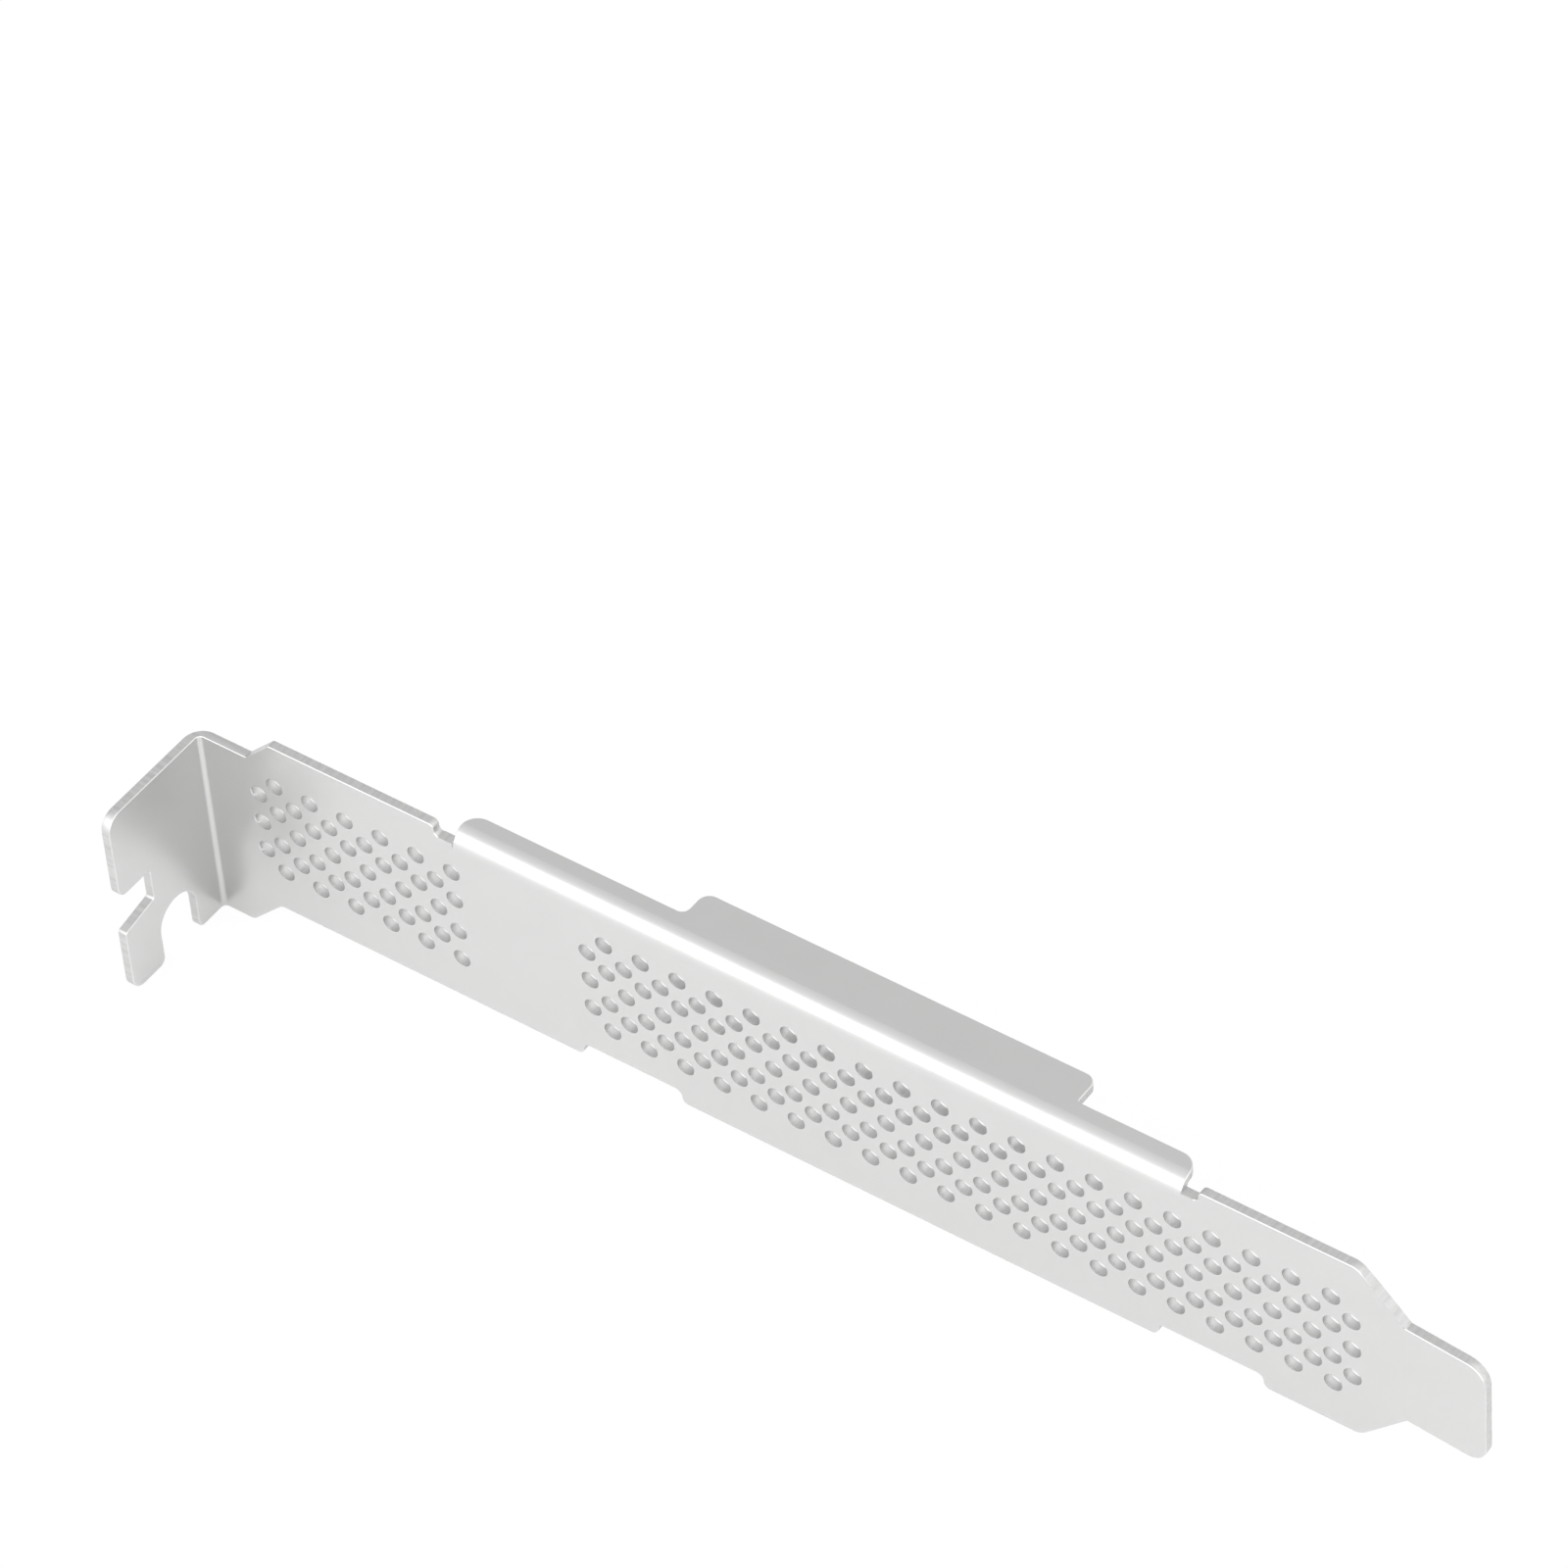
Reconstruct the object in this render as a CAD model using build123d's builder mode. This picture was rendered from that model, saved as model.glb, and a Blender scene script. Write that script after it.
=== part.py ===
from build123d import *
import math
import os

# Full height expansion card bracket, folded from one piece of plated steel sheet.
# X runs along the plate, from the outer side of the tab to the tip of the tongue.
# Y runs from the outer face of the plate, at y = 0, towards the card.
# Z runs across the plate, with z = 0 on its middle line and the flange along its upper edge.
# All sizes are in millimetres.

# Sheet and folds. The outside of a fold is rounder than its inside.
sheet = 0.86
fold_inside = 0.45
fold_outside = 1.75

# Plate
overall_length = 120.02
plate_width = 18.42

# Tab, turned outward at one end, with the neck that joins it to the plate
tab_depth = 11.43
tab_width = 19.05
tab_overhang = 3.17
tab_corner = 1.5
neck_lower_length = 3.9
neck_upper_length = 5.5
neck_lower_round = 0.8
neck_upper_round = 0.3

# Screw notch, open at the lower edge of the tab
screw_notch_width = 4.42
screw_notch_from_plate = 5.3

# Slot, open at the free edge of the tab, and the hook below it
slot_depth = 3.73
slot_below_middle = 1.85
slot_inner_height = 3.15
slot_mouth_height = 3.95
slot_inner_round = 0.3
slot_lip_round = 0.9
hook_tip_round = 1.2
hook_heel_round = 0.7
notch_lip_round = 0.5

# Tongue, bent a few degrees outward
tongue_length = 7.27
tongue_width = 10.19
tongue_angle = 4.2
tongue_fold_inside = 3.0
tongue_corner = 1.8
tongue_root_round = 0.4
shoulder_round = 1.3

# Flange along the upper edge, with a wide ear in the middle
flange_start = 25.95
flange_end_gap = 15.4
flange_depth = 2.8
flange_corner = 1.5
ear_depth = 5.53
ear_start_gap = 20.25
ear_end_gap = 10.94
ear_corner = 1.0
ear_start_root = 0.7
ear_end_root = 0.25

# Reliefs that free the ends of the flange
relief_depth = 1.05
relief_start_width = 1.75
relief_end_width = 1.55
relief_round = 0.45

# Two recesses in the lower edge
recess_depth = 1.27
recess_length = 9.45
recess_start = 37.0
recess_end_gap = 8.54
recess_round = 0.6

# Vent holes, in columns of three and four by turns. There are so many that each one is
# a plain polygon of the given number of sides instead of a true circle.
vent_diameter = 1.55
vent_sides = 12
vent_pitch = 3.483
vent_inner_row = 1.74
vent_side_row = 3.06
vent_outer_row = 4.79
vent_near_start = 6.38
vent_near_columns = 12
vent_far_start = 38.44
vent_end_room = 4.0

# How far a cut runs past the sheet
clear = 1.0

# Places that follow from the sizes above
half_width = plate_width / 2
half_tongue = tongue_width / 2
tab_bottom = -half_width - tab_overhang
tab_top = tab_bottom + tab_width
tongue_root = overall_length - tongue_length
shoulder = tongue_root - (half_width - half_tongue)
fold_line = half_width - fold_outside
flange_end = shoulder - flange_end_gap
ear_start = flange_start + ear_start_gap
ear_end = flange_end - ear_end_gap
recess_last_end = shoulder - recess_end_gap
column_step = vent_pitch / 2
vent_far_columns = int((tongue_root - vent_end_room - vent_far_start) / column_step) + 1


def step_corners(start, end, edge, floor):
    """Four corners of a straight cut from an edge down to its floor and back."""
    return [(start, edge), (start, floor), (end, floor), (end, edge)]


def vent_centres(start, columns):
    """Centres of one field of vent holes, beginning with a column of three."""
    three = (-vent_side_row, 0, vent_side_row)
    four = (-vent_outer_row, -vent_inner_row, vent_inner_row, vent_outer_row)
    return [
        (start + column * column_step, height)
        for column in range(columns)
        for height in (four if column % 2 else three)
    ]


# Outline of the plate, neck and tongue, going round from the lower corner of the tab.
# Each corner has its own rounding.
lower_neck = [(-clear, tab_bottom), (neck_lower_length, tab_bottom)]
lower_neck.append((neck_lower_length + tab_overhang, -half_width))
lower_neck_rounds = [0, neck_lower_round, neck_lower_round]

lower_floor = recess_depth - half_width
first_recess = step_corners(recess_start, recess_start + recess_length, -half_width, lower_floor)
last_recess = step_corners(recess_last_end - recess_length, recess_last_end, -half_width, lower_floor)

tongue = [
    (shoulder, -half_width),
    (tongue_root, -half_tongue),
    (overall_length, -half_tongue),
    (overall_length, half_tongue),
    (tongue_root, half_tongue),
    (shoulder, half_width),
]
tongue_rounds = [shoulder_round, tongue_root_round, tongue_corner]
tongue_rounds += reversed(tongue_rounds)

relief_floor = half_width - relief_depth
end_relief = step_corners(flange_end + relief_end_width, flange_end, half_width, relief_floor)
start_relief = step_corners(flange_start, flange_start - relief_start_width, half_width, relief_floor)
flange_gap = end_relief[:3] + [(flange_end, fold_line), (flange_start, fold_line)] + start_relief[1:]
flange_gap_rounds = [relief_round, relief_round, 0, 0, 0, 0, relief_round, relief_round]

upper_neck = [(neck_upper_length + half_width - tab_top, half_width), (neck_upper_length, tab_top)]
upper_neck.append((-clear, tab_top))
upper_neck_rounds = [neck_upper_round, neck_upper_round, 0]

outline = lower_neck + first_recess + last_recess + tongue + flange_gap + upper_neck
outline_rounds = lower_neck_rounds + [recess_round] * 8 + tongue_rounds + flange_gap_rounds
outline_rounds += upper_neck_rounds

# Outline of the flange, seen from above
flange_outline = [(flange_start, 0), (flange_start, flange_depth)]
flange_outline += step_corners(ear_start, ear_end, flange_depth, ear_depth)
flange_outline += [(flange_end, flange_depth), (flange_end, 0)]
flange_rounds = [0, flange_corner, ear_start_root, ear_corner, ear_corner, ear_end_root, flange_corner, 0]

with BuildPart() as bracket:
    # The folded strip, seen from above: tab, plate, and the tongue with its slight bend
    bend = math.radians(tongue_angle)
    strip_end = overall_length + clear
    strip_drop = math.tan(bend) * (tongue_length + clear)
    tongue_fold_outside = tongue_fold_inside + sheet
    with BuildSketch(Plane.XY.offset(tab_bottom)):
        with BuildLine():
            FilletPolyline(
                (0, -tab_depth),
                (sheet, -tab_depth),
                (sheet, 0),
                (tongue_root, 0),
                (strip_end, -strip_drop),
                (strip_end, sheet / math.cos(bend) - strip_drop),
                (tongue_root + sheet * math.tan(bend / 2), sheet),
                (0, sheet),
                radius=(0, 0, fold_inside, tongue_fold_inside, 0, 0, tongue_fold_outside, fold_outside),
                close=True,
            )
        make_face()
    extrude(amount=half_width - tab_bottom)

    # Trim the strip to its outline
    with BuildSketch(Plane.XZ):
        with BuildLine():
            FilletPolyline(*outline, radius=outline_rounds, close=True)
        make_face()
    extrude(amount=tab_depth + clear, both=True, mode=Mode.INTERSECT)

    # The flange, folded from the upper edge of the plate towards the card
    with BuildSketch(Plane.YZ.offset(flange_start)):
        with BuildLine():
            FilletPolyline(
                (sheet, fold_line - clear),
                (0, fold_line - clear),
                (0, half_width),
                (ear_depth, half_width),
                (ear_depth, half_width - sheet),
                (sheet, half_width - sheet),
                radius=(0, 0, fold_outside, 0, 0, fold_inside),
                close=True,
            )
        make_face()
    extrude(amount=flange_end - flange_start)

    # Trim the flange to its outline
    with BuildSketch(Plane.XY.offset(fold_line)):
        with Locations(((flange_start + flange_end) / 2, ear_depth)):
            Rectangle(flange_end - flange_start + clear, 2 * (ear_depth - sheet))
        with BuildLine():
            FilletPolyline(*flange_outline, radius=flange_rounds, close=True)
        make_face(mode=Mode.SUBTRACT)
    extrude(amount=fold_outside + clear, mode=Mode.SUBTRACT)

    # Screw notch and slot, cut through the tab
    slot_inner_end = slot_depth - tab_depth
    slot_upper = -slot_below_middle
    with BuildSketch(Plane.YZ.offset(-clear)):
        with Locations((-screw_notch_from_plate, -half_width)):
            Circle(screw_notch_width / 2)
            Rectangle(screw_notch_width, tab_overhang + clear, align=(Align.CENTER, Align.MAX))
        with BuildLine():
            FilletPolyline(
                (-tab_depth - clear, slot_upper),
                (slot_inner_end, slot_upper),
                (slot_inner_end, slot_upper - slot_inner_height),
                (-tab_depth, slot_upper - slot_mouth_height),
                (-tab_depth - clear, slot_upper - slot_mouth_height),
                radius=(0, slot_inner_round, slot_inner_round, 0, 0),
                close=True,
            )
        make_face()
    extrude(amount=sheet + 2 * clear, mode=Mode.SUBTRACT)

    # Round the corners of the tab, each found by its place on the tab
    notch_far_side = -screw_notch_from_plate - screw_notch_width / 2
    notch_near_side = -screw_notch_from_plate + screw_notch_width / 2
    tab_corners = [
        (-tab_depth, tab_top, tab_corner),
        (-tab_depth, slot_upper, slot_lip_round),
        (-tab_depth, slot_upper - slot_mouth_height, slot_inner_round),
        (-tab_depth, tab_bottom, hook_tip_round),
        (notch_far_side, tab_bottom, hook_heel_round),
        (notch_near_side, tab_bottom, notch_lip_round),
    ]
    for across, height, rounding in tab_corners:
        corner = bracket.edges().filter_by(Axis.X).sort_by_distance((sheet / 2, across, height))[0]
        fillet(corner, radius=rounding)

    # Vent holes through the plate
    with BuildSketch(Plane.XZ.offset(clear)):
        near_field = vent_centres(vent_near_start, vent_near_columns)
        far_field = vent_centres(vent_far_start, vent_far_columns)
        with Locations(*near_field, *far_field):
            RegularPolygon(vent_diameter / 2, vent_sides)
    extrude(amount=-sheet - 2 * clear, mode=Mode.SUBTRACT)

bracket.part.label = "bracket"
os.makedirs("parts", exist_ok=True)
export_step(bracket.part, "parts/bracket.step")
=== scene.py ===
import math

import bpy
from mathutils import Euler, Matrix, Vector


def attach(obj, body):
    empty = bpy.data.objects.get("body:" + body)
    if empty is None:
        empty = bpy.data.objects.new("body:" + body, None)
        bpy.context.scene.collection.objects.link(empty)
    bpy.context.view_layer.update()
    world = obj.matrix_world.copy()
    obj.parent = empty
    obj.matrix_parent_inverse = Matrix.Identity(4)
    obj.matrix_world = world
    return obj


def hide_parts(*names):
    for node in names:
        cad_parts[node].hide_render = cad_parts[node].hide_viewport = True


# Full height expansion card bracket, folded from one piece of bright plated steel sheet.
# X runs along the plate from the tab to the tongue, Y from its outer face inward, and Z
# across it. Sizes of the bracket are in millimetres, and mm turns them into metres.
mm = 0.001

# Sheet and folds. The outside of a fold is rounder than its inside.
sheet = 0.86
fold_inside = 0.45
fold_outside = 1.75
fold_inside_steps = 8
fold_outside_steps = 16

# Plate and neck
overall_length = 120.02
plate_width = 18.42
neck_lower_length = 3.9
neck_upper_length = 5.5
neck_lower_round = 0.8
neck_upper_round = 0.3

# Tab with its screw notch, slot and hook
tab_depth = 11.43
tab_width = 19.05
tab_overhang = 3.17
tab_corner = 1.5
screw_notch_width = 4.42
screw_notch_from_plate = 5.3
screw_notch_sides = 48
slot_depth = 3.73
slot_below_middle = 1.85
slot_inner_height = 3.15
slot_mouth_height = 3.95
slot_inner_round = 0.3
slot_lip_round = 0.9
hook_tip_round = 1.2
hook_heel_round = 0.7
notch_lip_round = 0.5

# Tongue, bent a few degrees outward
tongue_length = 7.27
tongue_width = 10.19
tongue_angle = 4.2
tongue_fold_inside = 3.0
tongue_fold_steps = 3
tongue_corner = 1.8
tongue_root_round = 0.4
shoulder_round = 1.3

# Flange with its ear and end reliefs
flange_start = 25.95
flange_end_gap = 15.4
flange_depth = 2.8
flange_corner = 1.5
ear_depth = 5.53
ear_start_gap = 20.25
ear_end_gap = 10.94
ear_corner = 1.0
ear_start_root = 0.7
ear_end_root = 0.25
relief_depth = 1.05
relief_start_width = 1.75
relief_end_width = 1.55
relief_round = 0.45

# Recesses in the lower edge
recess_depth = 1.27
recess_length = 9.45
recess_start = 37.0
recess_end_gap = 8.54
recess_round = 0.6

# Vent holes, in columns of three and four by turns
vent_diameter = 1.55
vent_sides = 24
vent_pitch = 3.483
vent_inner_row = 1.74
vent_side_row = 3.06
vent_outer_row = 4.79
vent_near_start = 6.38
vent_near_columns = 12
vent_far_start = 38.44
vent_far_columns = 41

# The small rounding that punching leaves on the edges, sharper on the vent holes
edge_round = 0.09
vent_edge_round = 0.035
edge_steps = 2

# Steps in the rounding of a corner, and the profile that makes a rounding circular
corner_steps = 8
round_profile = 0.5

# The least turn that counts as an edge, and the most that counts as flat
edge_turn = math.radians(50)
flat_turn = math.radians(0.5)
quarter_turn = math.pi / 2

# How far a cut runs past the sheet, and how near two places have to be to count as one
clear = 1.0
near = 0.02

# Places that follow from the sizes above
half_width = plate_width / 2
half_tongue = tongue_width / 2
tab_bottom = -half_width - tab_overhang
tab_top = tab_bottom + tab_width
tongue_root = overall_length - tongue_length
shoulder = tongue_root - (half_width - half_tongue)
fold_line = half_width - fold_outside
flange_end = shoulder - flange_end_gap
ear_start = flange_start + ear_start_gap
ear_end = flange_end - ear_end_gap
recess_last_end = shoulder - recess_end_gap


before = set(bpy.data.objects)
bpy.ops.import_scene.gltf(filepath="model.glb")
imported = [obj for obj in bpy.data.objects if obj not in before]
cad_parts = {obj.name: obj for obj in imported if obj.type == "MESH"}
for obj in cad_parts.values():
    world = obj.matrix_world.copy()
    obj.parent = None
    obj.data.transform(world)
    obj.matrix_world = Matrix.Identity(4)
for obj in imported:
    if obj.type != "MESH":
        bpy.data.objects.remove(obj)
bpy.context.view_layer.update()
bpy.ops.object.select_all(action="DESELECT")


# Finishes

# The blue of a grey finish, as a share of its red and green
grey_warmth = 0.994

# Depth of the fine relief of a finish, at full strength
bump_depth = 0.02

# Waves along the marks of a cut, as a share of the waves across them
mark_stretch = 0.08

# Sockets of a Mix node that take two colours and give the mixed one
first_colour = 6
second_colour = 7
mixed_colour = 2


class Socket:
    """A value in a finish. Adding, subtracting or multiplying makes the Math nodes for it."""

    def __init__(self, tree, link):
        self.tree = tree
        self.link = link

    def node(self, kind, settings=None, **sockets):
        made = self.tree.nodes.new(kind)
        for name, value in (settings or {}).items():
            setattr(made, name, value)
        for name, value in sockets.items():
            feed(self.tree, made.inputs[name.replace("_", " ")], value)
        return made

    def math(self, operation, other, swap=False):
        made = self.tree.nodes.new("ShaderNodeMath")
        made.operation = operation
        first, second = (other, self) if swap else (self, other)
        feed(self.tree, made.inputs[0], first)
        feed(self.tree, made.inputs[1], second)
        return Socket(self.tree, made.outputs[0])

    def __add__(self, other):
        return self.math("ADD", other)

    def __sub__(self, other):
        return self.math("SUBTRACT", other)

    def __mul__(self, other):
        return self.math("MULTIPLY", other)

    __radd__ = __add__

    def __rsub__(self, other):
        return self.math("SUBTRACT", other, swap=True)


def feed(tree, socket, value):
    """Links a value in a finish to a socket, or sets a plain one."""
    if isinstance(value, Socket):
        tree.links.new(value.link, socket)
    else:
        socket.default_value = value


def new_material(name):
    """An empty material, with the means to make nodes in it."""
    material = bpy.data.materials.new(name)
    material.use_nodes = True
    material.node_tree.nodes.clear()
    return material, Socket(material.node_tree, None)


def place_on_piece(kit):
    """Where a point lies on the piece."""
    return Socket(kit.tree, kit.node("ShaderNodeTexCoord").outputs["Object"])


def noise(kit, spot, waves, detail):
    """A noise pattern at a spot, with so many waves to the metre."""
    pattern = kit.node("ShaderNodeTexNoise", Vector=spot, Scale=waves, Detail=detail)
    return Socket(kit.tree, pattern.outputs["Fac"])


def blend(first, second, share):
    """Two patterns in one, with the share of the first."""
    return first * share + second * (1 - share)


def between(kit, mask, dark, light):
    """A hardly warm grey between two levels, by a mask."""
    tone = kit.node("ShaderNodeMix", {"data_type": "RGBA"})
    feed(kit.tree, tone.inputs["Factor"], mask)
    tone.inputs[first_colour].default_value = (dark, dark, dark * grey_warmth, 1)
    tone.inputs[second_colour].default_value = (light, light, light * grey_warmth, 1)
    return Socket(kit.tree, tone.outputs[mixed_colour])


def metal(kit, tone, roughness, height, strength):
    """The metal itself, with its fine relief, joined to the output."""
    bump = kit.node("ShaderNodeBump", Strength=strength, Distance=bump_depth * mm, Height=height)
    surface = kit.node(
        "ShaderNodeBsdfPrincipled", Metallic=1.0, Roughness=roughness, Base_Color=tone
    )
    kit.tree.links.new(bump.outputs["Normal"], surface.inputs["Normal"])
    output = kit.node("ShaderNodeOutputMaterial")
    kit.tree.links.new(surface.outputs["BSDF"], output.inputs["Surface"])


def plated_face():
    """Bright satin plating: nearly even, with a faint cloudiness and a finer grain."""
    material, kit = new_material("satin_plating")
    spot = place_on_piece(kit)
    cloud = noise(kit, spot, waves=220.0, detail=3.0)
    grain = noise(kit, spot, waves=5200.0, detail=4.0)
    tone = between(kit, blend(cloud, grain, share=0.8), dark=0.62, light=0.652)
    roughness = 0.27 + cloud * 0.04 + grain * 0.02
    metal(kit, tone, roughness, height=blend(cloud, grain, share=0.6), strength=0.03)
    return material


def edge_finish(name, dark, light):
    """The rounding along an edge, in patches between two levels: rubbed plating where the levels
    are bright, a painted shade where they are dark.
    """
    material, kit = new_material(name)
    spot = place_on_piece(kit)
    patch = noise(kit, spot, waves=900.0, detail=2.0)
    grain = noise(kit, spot, waves=6000.0, detail=3.0)
    roughness = 0.28 + grain * 0.1
    metal(kit, between(kit, patch, dark, light), roughness, height=grain, strength=0.06)
    return material


def cut_face(name, through, dark=0.38, light=0.76):
    """The punched thickness of the sheet: duller, with fine marks along the axis through it."""
    material, kit = new_material(name)
    spot = place_on_piece(kit)
    stretch = [1.0, 1.0, 1.0]
    stretch[through] = mark_stretch
    drawn = kit.node("ShaderNodeMapping", Vector=spot, Scale=stretch)
    drawn_spot = Socket(kit.tree, drawn.outputs["Vector"])
    marks = noise(kit, drawn_spot, waves=2600.0, detail=3.0)
    grain = noise(kit, spot, waves=7000.0, detail=3.0)
    pattern = blend(marks, grain, share=0.7)
    roughness = 0.42 + grain * 0.14
    metal(kit, between(kit, pattern, dark, light), roughness, height=pattern, strength=0.25)
    return material


faces = plated_face()
plate_cut = cut_face("plate_cut", through=1)
vent_cut = cut_face("vent_cut", through=1, dark=0.5, light=0.74)
tab_cut = cut_face("tab_cut", through=0)
flange_cut = cut_face("flange_cut", through=2)
edges = edge_finish("rubbed_edge", dark=0.62, light=0.74)
# Dark rims round the vent holes: a painted shade that stands in for the shadow of the shear lip.
vent_rim_painted_shade = edge_finish("vent_rim_painted_shade", dark=0.22, light=0.42)


# Ways of working the sheet

def set_mode(mode):
    bpy.ops.object.mode_set(mode=mode)


def place(piece, size=(1, 1, 1)):
    """Gives a new piece its size, and puts its turn, size and place into its mesh."""
    piece.scale = size
    bpy.ops.object.transform_apply(location=True, rotation=True, scale=True)
    return piece


def block(low, high, finish=plate_cut):
    """A solid block between two corners. A cut leaves the tool's finish on the sheet."""
    centre = [(a + b) / 2 * mm for a, b in zip(low, high)]
    size = [(b - a) * mm for a, b in zip(low, high)]
    bpy.ops.object.select_all(action="DESELECT")
    bpy.ops.mesh.primitive_cube_add(size=1, location=centre)
    piece = place(bpy.context.object, size)
    piece.data.materials.append(finish)
    return piece


def rod(sides, radius, length, centre, turn, finish):
    """A solid rod around a centre, turned from upright."""
    bpy.ops.object.select_all(action="DESELECT")
    bpy.ops.mesh.primitive_cylinder_add(
        vertices=sides,
        radius=radius * mm,
        depth=length * mm,
        location=[value * mm for value in centre],
        rotation=turn,
    )
    piece = place(bpy.context.object)
    piece.data.materials.append(finish)
    return piece


def pick(piece, kind, wanted):
    """Starts editing a piece with only the wanted parts selected, given by number.

    The kind is VERT, EDGE or FACE.
    """
    bpy.context.view_layer.objects.active = piece
    set_mode("EDIT")
    bpy.ops.mesh.select_mode(type=kind)
    bpy.ops.mesh.select_all(action="DESELECT")
    set_mode("OBJECT")
    mesh = piece.data
    kinds = {"VERT": mesh.vertices, "EDGE": mesh.edges, "FACE": mesh.polygons}
    for number in wanted:
        kinds[kind][number].select = True
    set_mode("EDIT")


def combine(piece, tool, operation):
    """Joins a tool to a piece, cuts it away or keeps what both hold, and throws the tool away."""
    change = piece.modifiers.new("combine", "BOOLEAN")
    change.object = tool
    change.operation = operation
    change.solver = "EXACT"
    change.material_mode = "TRANSFER"
    bpy.context.view_layer.objects.active = piece
    bpy.ops.object.modifier_apply(modifier=change.name)
    bpy.data.objects.remove(tool)


def run_on(piece, spot, step):
    """Runs a piece on from the face whose middle is nearest a spot."""
    goal = Vector(spot) * mm
    nearest = min(piece.data.polygons, key=lambda face: (face.center - goal).length)
    pick(piece, "FACE", [nearest.index])
    bpy.ops.mesh.extrude_region_move(TRANSFORM_OT_translate={"value": Vector(step) * mm})
    set_mode("OBJECT")


def slide(piece, wanted, step):
    """Moves the vertices of a piece whose places are wanted."""
    found = [vertex.index for vertex in piece.data.vertices if wanted(*(vertex.co / mm))]
    pick(piece, "VERT", found)
    bpy.ops.transform.translate(value=Vector(step) * mm)
    set_mode("OBJECT")


def join_flat(piece):
    """Joins the neighbouring faces of a piece that lie in one plane."""
    pick(piece, "FACE", range(len(piece.data.polygons)))
    bpy.ops.mesh.dissolve_limited(angle_limit=flat_turn)
    set_mode("OBJECT")


def edges_at(mesh, along, spot):
    """The edges that run along one axis (0, 1 or 2) at a spot given by the other two places."""
    others = [axis for axis in range(3) if axis != along]

    def is_there(corner):
        return all(abs(corner[axis] - value * mm) < near * mm for axis, value in zip(others, spot))

    return [
        edge.index
        for edge in mesh.edges
        if all(is_there(mesh.vertices[end].co) for end in edge.vertices)
    ]


def turn_at(mesh, edge_index):
    """How far the surface turns at an edge between two faces."""
    pair = set(mesh.edges[edge_index].vertices)
    normals = [face.normal for face in mesh.polygons if pair <= set(face.vertices)]
    return normals[0].angle(normals[1])


def round_corner(piece, along, spot, radius, steps=corner_steps):
    """Rounds the corner of a piece that runs along one axis at a spot.

    One step makes a flat chamfer.
    """
    found = edges_at(piece.data, along, spot)
    reach = radius * math.tan(turn_at(piece.data, found[0]) / 2)
    pick(piece, "EDGE", found)
    bpy.ops.mesh.bevel(offset=reach * mm, segments=steps, profile=round_profile)
    set_mode("OBJECT")


# The folded strip: tab, plate and tongue run on from the block at the fold

bend = math.radians(tongue_angle)
strip_drop = math.tan(bend) * (tongue_length + clear)
strip_half = clear - tab_bottom
bracket = block((0, 0, -strip_half), (sheet, sheet, strip_half), faces)
bracket.name = "folded_sheet"
run_on(bracket, (sheet / 2, 0, 0), (0, -tab_depth - clear, 0))
run_on(bracket, (sheet, sheet / 2, 0), (tongue_root - sheet, 0, 0))
run_on(bracket, (tongue_root, sheet / 2, 0), (tongue_length + clear, -strip_drop, 0))

# How much later the bend of the tongue starts on its inner side
bend_lag = sheet * math.tan(bend / 2)


def on_inner_side(x, y, z):
    """Whether a place lies on the inner side of the tongue."""
    return x > tongue_root - near and y + (x - tongue_root) * math.tan(bend) > sheet / 2


slide(bracket, on_inner_side, (bend_lag, 0, 0))
join_flat(bracket)
tongue_fold_outside = tongue_fold_inside + sheet
round_corner(bracket, 2, (0, sheet), fold_outside, fold_outside_steps)
round_corner(bracket, 2, (sheet, 0), fold_inside, fold_inside_steps)
round_corner(bracket, 2, (tongue_root, 0), tongue_fold_inside, tongue_fold_steps)
round_corner(bracket, 2, (tongue_root + bend_lag, sheet), tongue_fold_outside, tongue_fold_steps)

# Outline of the strip, seen from outside
far = overall_length + clear
below = tab_bottom - clear
above = half_width + clear
outline_low = (-clear, -tab_depth - 2 * clear, tab_bottom)
outline = block(outline_low, (overall_length, 2 * clear, half_width))


def trim(low, high, chamfer=None):
    """Cuts a rectangle, given by its X and Z places, from the outline.

    A chamfer, given by its corner and its size, slants one corner of it.
    """
    tool = block((low[0], -tab_depth - 3 * clear, low[1]), (high[0], 3 * clear, high[1]))
    if chamfer:
        corner, size = chamfer
        round_corner(tool, 1, corner, size, steps=1)
    combine(outline, tool, "DIFFERENCE")


lower_neck = (neck_lower_length, -half_width)
trim((neck_lower_length, below), (far, -half_width), (lower_neck, tab_overhang))
upper_step = half_width - tab_top
neck_top = neck_upper_length + upper_step
trim((-2 * clear, tab_top), (neck_top, above), ((neck_top, tab_top), upper_step))
shoulder_step = half_width - half_tongue
lower_shoulder = (shoulder, -half_tongue)
trim((shoulder, -half_width - clear), (far, -half_tongue), (lower_shoulder, shoulder_step))
trim((shoulder, half_tongue), (far, above), ((shoulder, half_tongue), shoulder_step))
recess_floor = recess_depth - half_width
recess_first_end = recess_start + recess_length
recess_last_start = recess_last_end - recess_length
trim((recess_start, below), (recess_first_end, recess_floor))
trim((recess_last_start, below), (recess_last_end, recess_floor))
relief_floor = half_width - relief_depth
relief_start = flange_start - relief_start_width
relief_end = flange_end + relief_end_width
trim((relief_start, relief_floor), (relief_end, above))
trim((flange_start, fold_line), (flange_end, above))

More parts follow.
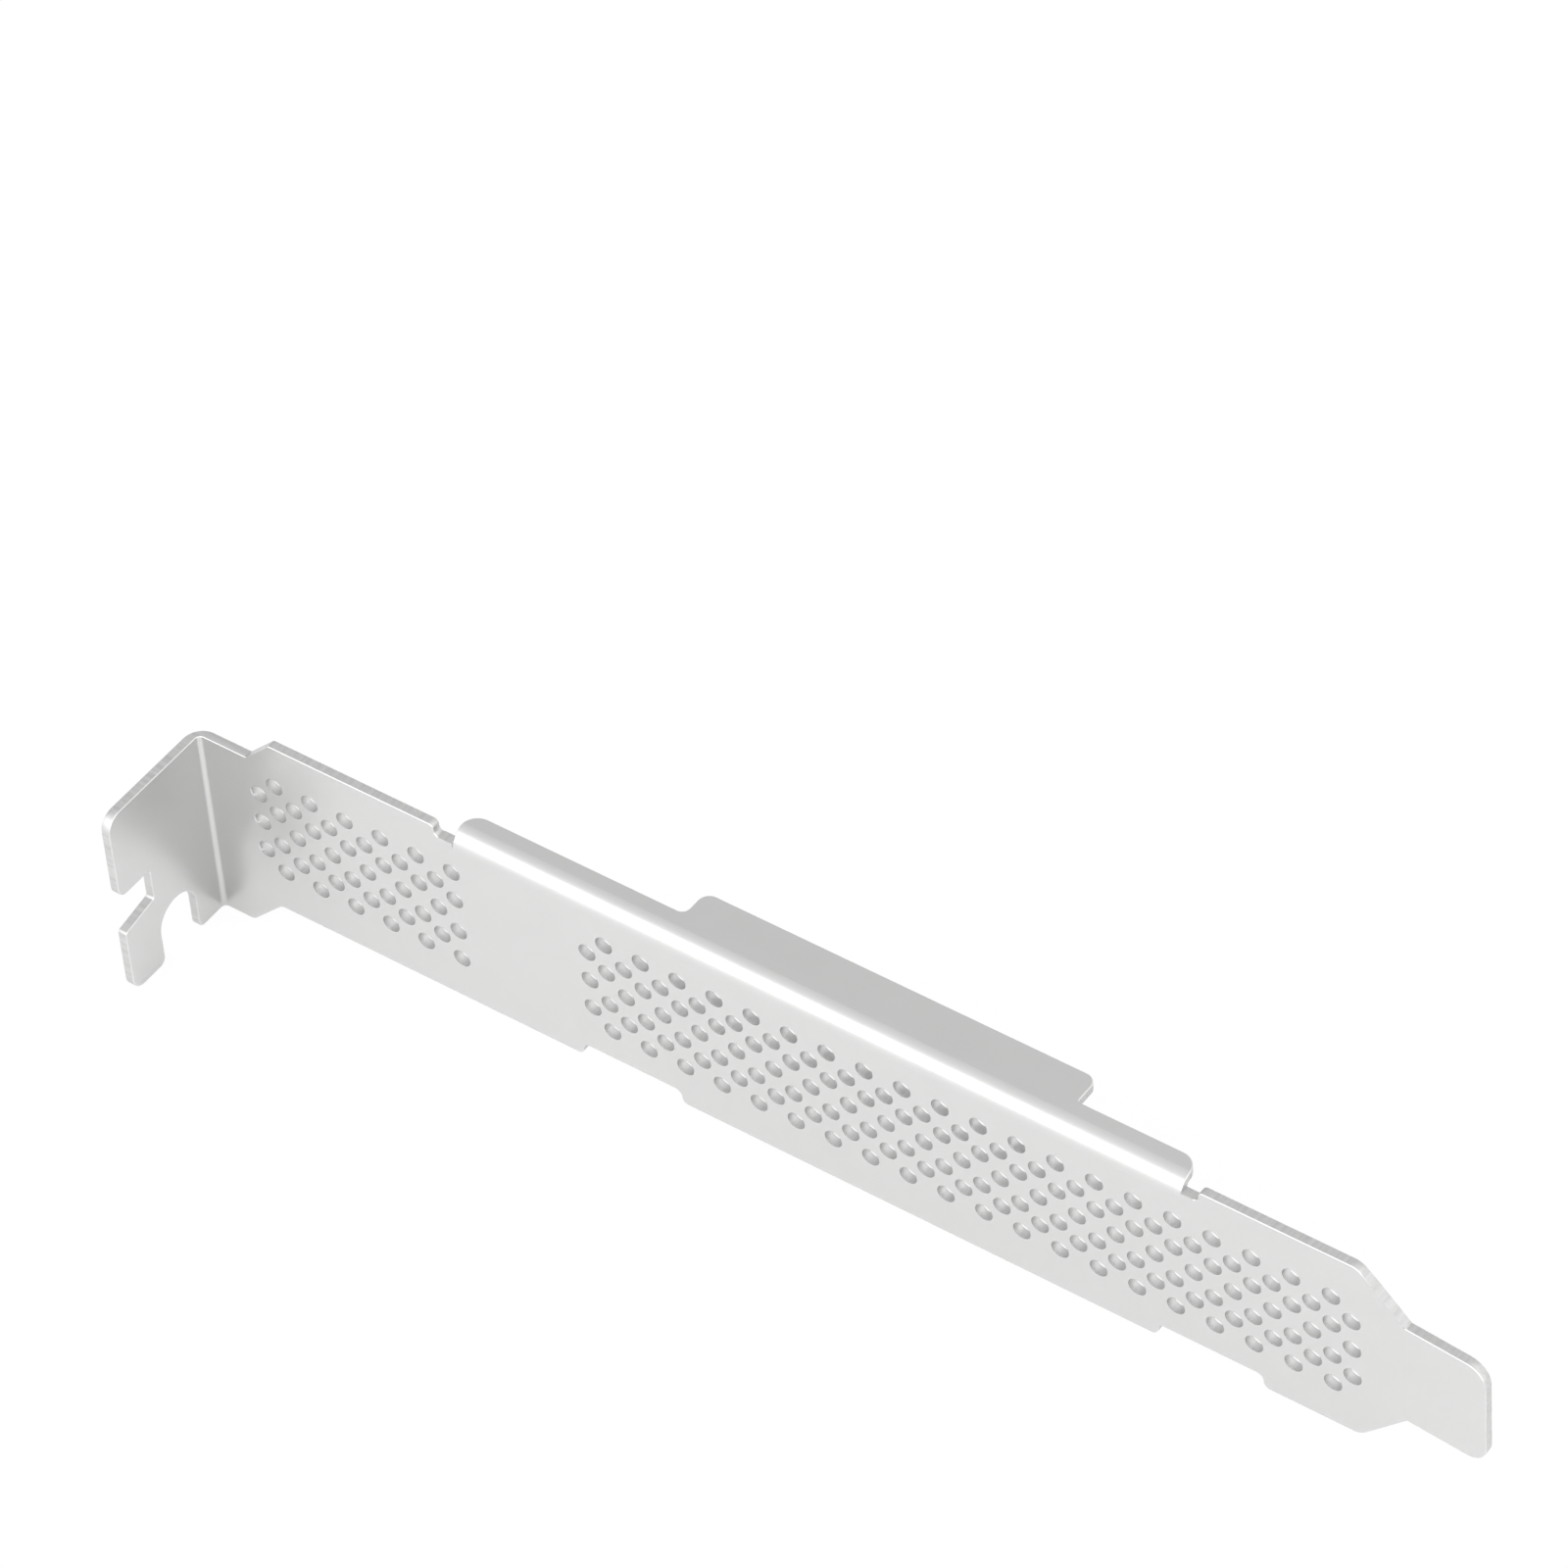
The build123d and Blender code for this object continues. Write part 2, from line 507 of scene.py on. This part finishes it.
outline_corners = [
    (neck_lower_length, tab_bottom, neck_lower_round),
    (neck_lower_length + tab_overhang, -half_width, neck_lower_round),
    (neck_upper_length, tab_top, neck_upper_round),
    (neck_top, half_width, neck_upper_round),
    (relief_start, half_width, relief_round),
    (relief_start, relief_floor, relief_round),
    (relief_end, half_width, relief_round),
    (relief_end, relief_floor, relief_round),
]
for side in (-1, 1):
    outline_corners.append((shoulder, side * half_width, shoulder_round))
    outline_corners.append((tongue_root, side * half_tongue, tongue_root_round))
    outline_corners.append((overall_length, side * half_tongue, tongue_corner))
for recess_side in (recess_start, recess_first_end, recess_last_start, recess_last_end):
    outline_corners.append((recess_side, -half_width, recess_round))
    outline_corners.append((recess_side, recess_floor, recess_round))
for along_plate, height, radius in outline_corners:
    round_corner(outline, 1, (along_plate, height), radius)
combine(bracket, outline, "INTERSECT")

# The flange, run on from the block at its fold, and its outline seen from above
flange_middle = (flange_start + flange_end) / 2
flange_low = half_width - sheet
flange_far = (flange_end + clear, sheet, half_width)
flange = block((flange_start - clear, 0, flange_low), flange_far, faces)
root_depth = fold_line - clear - flange_low
run_on(flange, (flange_middle, sheet / 2, flange_low), (0, 0, root_depth))
run_on(flange, (flange_middle, sheet, half_width - sheet / 2), (0, ear_depth + clear - sheet, 0))
join_flat(flange)
round_corner(flange, 0, (0, half_width), fold_outside, fold_outside_steps)
round_corner(flange, 0, (sheet, flange_low), fold_inside, fold_inside_steps)
plan = block((flange_start, -clear, 0), (flange_end, flange_depth, half_width + clear))
ear = block((ear_start, -clear / 2, 0), (ear_end, ear_depth, half_width + clear))
combine(plan, ear, "UNION")
plan_corners = [
    (flange_start, flange_depth, flange_corner),
    (flange_end, flange_depth, flange_corner),
    (ear_start, flange_depth, ear_start_root),
    (ear_end, flange_depth, ear_end_root),
    (ear_start, ear_depth, ear_corner),
    (ear_end, ear_depth, ear_corner),
]
for along_plate, across, radius in plan_corners:
    round_corner(plan, 2, (along_plate, across), radius)
combine(flange, plan, "INTERSECT")
combine(bracket, flange, "UNION")
join_flat(bracket)

# Outline of the tab, seen along the plate. What lies beyond the tab is kept whole.
end_view = block((-clear, -tab_depth, tab_bottom), (far, -fold_outside, tab_top))
beyond_low = (-2 * clear, -fold_outside - clear / 2, below)
beyond_tab = block(beyond_low, (far + clear, ear_depth + clear, above))
combine(end_view, beyond_tab, "UNION")

# The slot, whose lower side slants down to its mouth
slot_upper = -slot_below_middle
slot_floor = slot_upper - slot_inner_height
slot_mouth = slot_upper - slot_mouth_height
slot_end = slot_depth - tab_depth
slot_low = (-3 * clear, -tab_depth - clear, slot_floor)
slot = block(slot_low, (far + 2 * clear, slot_end, slot_upper))
slant = (slot_floor - slot_mouth) * (slot_depth + clear) / slot_depth


def on_slot_lip(x, y, z):
    """Whether a place lies at the mouth of the slot, on its lower side."""
    return y < slot_end - near and z < slot_upper - near


slide(slot, on_slot_lip, (0, 0, -slant))
round_corner(slot, 0, (slot_end, slot_upper), slot_inner_round)
round_corner(slot, 0, (slot_end, slot_floor), slot_inner_round)
combine(end_view, slot, "DIFFERENCE")

# The screw notch, a round end with straight sides below it
notch_far_side = -screw_notch_from_plate - screw_notch_width / 2
notch_near_side = -screw_notch_from_plate + screw_notch_width / 2
notch = rod(
    sides=screw_notch_sides,
    radius=screw_notch_width / 2,
    length=3 * overall_length,
    centre=(0, -screw_notch_from_plate, -half_width),
    turn=(0, quarter_turn, 0),
    finish=plate_cut,
)
notch_low = (-3 * clear, notch_far_side, below - clear)
notch_opening = block(notch_low, (far + 2 * clear, notch_near_side, -half_width))
combine(notch, notch_opening, "UNION")
combine(end_view, notch, "DIFFERENCE")

tab_corners = [
    (-tab_depth, tab_top, tab_corner),
    (-tab_depth, slot_upper, slot_lip_round),
    (-tab_depth, slot_mouth, slot_inner_round),
    (-tab_depth, tab_bottom, hook_tip_round),
    (notch_far_side, tab_bottom, hook_heel_round),
    (notch_near_side, tab_bottom, notch_lip_round),
]
for across, height, radius in tab_corners:
    round_corner(end_view, 0, (across, height), radius)
combine(bracket, end_view, "INTERSECT")

# Marks of a cut run through the sheet, which turns with the tab and the flange, so the cut
# faces there have finishes of their own
slots = {material.name: number for number, material in enumerate(bracket.data.materials)}
for finish in (tab_cut, flange_cut, edges, vent_rim_painted_shade):
    slots[finish.name] = len(bracket.data.materials)
    bracket.data.materials.append(finish)
for face in bracket.data.polygons:
    if face.material_index == slots[plate_cut.name]:
        if face.center.y < 0:
            face.material_index = slots[tab_cut.name]
        elif face.center.y > sheet * mm:
            face.material_index = slots[flange_cut.name]


# Vent holes: each row is one punch, repeated along the plate

def row_of_punches(start, height, count):
    """Punches for one row of vent holes."""
    row = rod(
        sides=vent_sides,
        radius=vent_diameter / 2,
        length=4 * clear,
        centre=(start, 0, height),
        turn=(quarter_turn, 0, 0),
        finish=vent_cut,
    )
    repeat = row.modifiers.new("repeat", "ARRAY")
    repeat.count = count
    repeat.use_relative_offset = False
    repeat.use_constant_offset = True
    repeat.constant_offset_displace = (vent_pitch * mm, 0, 0)
    bpy.ops.object.modifier_apply(modifier=repeat.name)
    return row


rows = []
vent_fields = [(vent_near_start, vent_near_columns), (vent_far_start, vent_far_columns)]
for field_start, columns in vent_fields:
    for height in (-vent_side_row, 0, vent_side_row):
        rows.append(row_of_punches(field_start, height, (columns + 1) // 2))
    for height in (-vent_outer_row, -vent_inner_row, vent_inner_row, vent_outer_row):
        rows.append(row_of_punches(field_start + vent_pitch / 2, height, columns // 2))
for row in rows:
    row.select_set(True)
bpy.ops.object.join()
combine(bracket, bpy.context.object, "DIFFERENCE")


# Rounding of the punched edges

def in_vents(x, y, z):
    """Whether a place lies in the fields of vent holes."""
    return tab_depth / 2 < x < tongue_root and abs(z) < vent_outer_row + vent_diameter


def beside_fold(x, y, z):
    """Whether a place lies on the shallow step beside an end of the flange's fold."""
    at_end = min(abs(x - flange_start), abs(x - flange_end)) < near
    return at_end and fold_line - near < z < relief_floor + near


def on_other_edges(x, y, z):
    """Whether a place lies neither in the vents nor beside the fold, where edges stay sharp."""
    return not in_vents(x, y, z) and not beside_fold(x, y, z)


def round_edges(piece, size, finish, wanted):
    """Rounds the sharp edges of a piece with both ends at wanted places."""
    bpy.ops.object.select_all(action="DESELECT")
    piece.select_set(True)
    pick(piece, "EDGE", ())
    bpy.ops.mesh.edges_select_sharp(sharpness=edge_turn)
    set_mode("OBJECT")
    right = [wanted(*(vertex.co / mm)) for vertex in piece.data.vertices]
    sharp = [
        edge.index
        for edge in piece.data.edges
        if edge.select and all(right[end] for end in edge.vertices)
    ]
    pick(piece, "EDGE", sharp)
    bpy.ops.mesh.bevel(
        offset=size * mm, segments=edge_steps, profile=round_profile, material=slots[finish.name]
    )
    set_mode("OBJECT")


# The rounding of the vent holes takes the dark rim finish, a painted shade.
round_edges(bracket, vent_edge_round, vent_rim_painted_shade, in_vents)
round_edges(bracket, edge_round, edges, on_other_edges)

# Flat faces keep their flat shine beside the roundings
bpy.ops.object.shade_smooth_by_angle(angle=edge_turn)
shine = bracket.modifiers.new("flat shine", "WEIGHTED_NORMAL")
shine.weight = 100
shine.keep_sharp = True
bpy.ops.object.modifier_apply(modifier=shine.name)

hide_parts("bracket")
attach(bracket, "root")


# Floor, light and camera. Places and sizes in the room are in metres.

# The floor lies a gap in millimetres below the bracket, around the middle of its length
floor_gap = 0.05
floor_level = (tab_bottom - floor_gap) * mm
floor_size = 6
stage_middle = 0.06

# The level of the paper, and the shares of the floor that glow to the eye and in reflections
paper_level = 0.92
seen_glow = 0.92
mirrored_glow = 0.2

# The level of the studio, what is added at its right and what is taken off at its back
studio_level = 1.21
studio_right = 0.5
studio_back = 0.32

white = (1, 1, 1, 1)


def floor_finish():
    """White to the eye, and partly so in reflections.

    The rest is plain paper, so that a shadow shows.
    """
    material, kit = new_material("white_paper")
    rays = kit.node("ShaderNodeLightPath")
    seen = Socket(kit.tree, rays.outputs["Is Camera Ray"])
    mirrored = Socket(kit.tree, rays.outputs["Is Glossy Ray"])
    paper_colour = (paper_level, paper_level, paper_level, 1)
    paper = kit.node("ShaderNodeBsdfDiffuse", Color=paper_colour)
    glow = kit.node("ShaderNodeEmission", Color=white, Strength=1.0)
    mix = kit.node("ShaderNodeMixShader")
    feed(kit.tree, mix.inputs[0], seen * seen_glow + mirrored * mirrored_glow)
    kit.tree.links.new(paper.outputs[0], mix.inputs[1])
    kit.tree.links.new(glow.outputs[0], mix.inputs[2])
    output = kit.node("ShaderNodeOutputMaterial")
    kit.tree.links.new(mix.outputs[0], output.inputs["Surface"])
    return material


def studio_sky():
    """White to the eye. To the object it is a pale studio, brighter at the right and in front."""
    world = bpy.data.worlds.new("studio")
    world.use_nodes = True
    world.node_tree.nodes.clear()
    kit = Socket(world.node_tree, None)
    seen = Socket(kit.tree, kit.node("ShaderNodeLightPath").outputs["Is Camera Ray"])
    direction = Socket(kit.tree, kit.node("ShaderNodeTexCoord").outputs["Generated"])
    sides = kit.node("ShaderNodeSeparateXYZ", Vector=direction)
    rightward = Socket(kit.tree, sides.outputs["X"])
    backward = Socket(kit.tree, sides.outputs["Y"])
    studio = studio_level + rightward * studio_right - backward * studio_back
    strength = seen + (1 - seen) * studio
    light = kit.node("ShaderNodeBackground", Color=white, Strength=strength)
    output = kit.node("ShaderNodeOutputWorld")
    kit.tree.links.new(light.outputs[0], output.inputs["Surface"])
    bpy.context.scene.world = world


def soft_light(name, location, aim, width, height, power):
    """A large soft light that faces a point."""
    lamp = bpy.data.lights.new(name, "AREA")
    lamp.shape = "RECTANGLE"
    lamp.size = width
    lamp.size_y = height
    lamp.energy = power
    lamp_object = bpy.data.objects.new(name, lamp)
    bpy.context.collection.objects.link(lamp_object)
    lamp_object.location = location
    towards = Vector(aim) - Vector(location)
    lamp_object.rotation_euler = towards.to_track_quat("-Z", "Y").to_euler()


bpy.ops.object.select_all(action="DESELECT")
bpy.ops.mesh.primitive_plane_add(size=floor_size, location=(stage_middle, 0, floor_level))
floor = place(bpy.context.object)
floor.name = "floor"
floor.data.materials.append(floor_finish())
studio_sky()
soft_light(
    "front_softbox",
    location=(-0.35, -0.80, 0.56),
    aim=(stage_middle, 0, 0.56),
    width=1.8,
    height=0.92,
    power=6.0,
)

# The camera, with its turns in degrees
camera_data = bpy.data.cameras.new("camera")
camera_data.sensor_width = 36
camera_data.lens = 198.3
camera = bpy.data.objects.new("camera", camera_data)
bpy.context.collection.objects.link(camera)
camera.location = (0.341275, -0.345962, 0.478931)
camera_turns = (44.8904, 3.5144, 35.6631)
camera.rotation_euler = Euler([math.radians(turn) for turn in camera_turns], "XYZ")
bpy.context.scene.camera = camera
bpy.context.scene.view_settings.view_transform = "Standard"
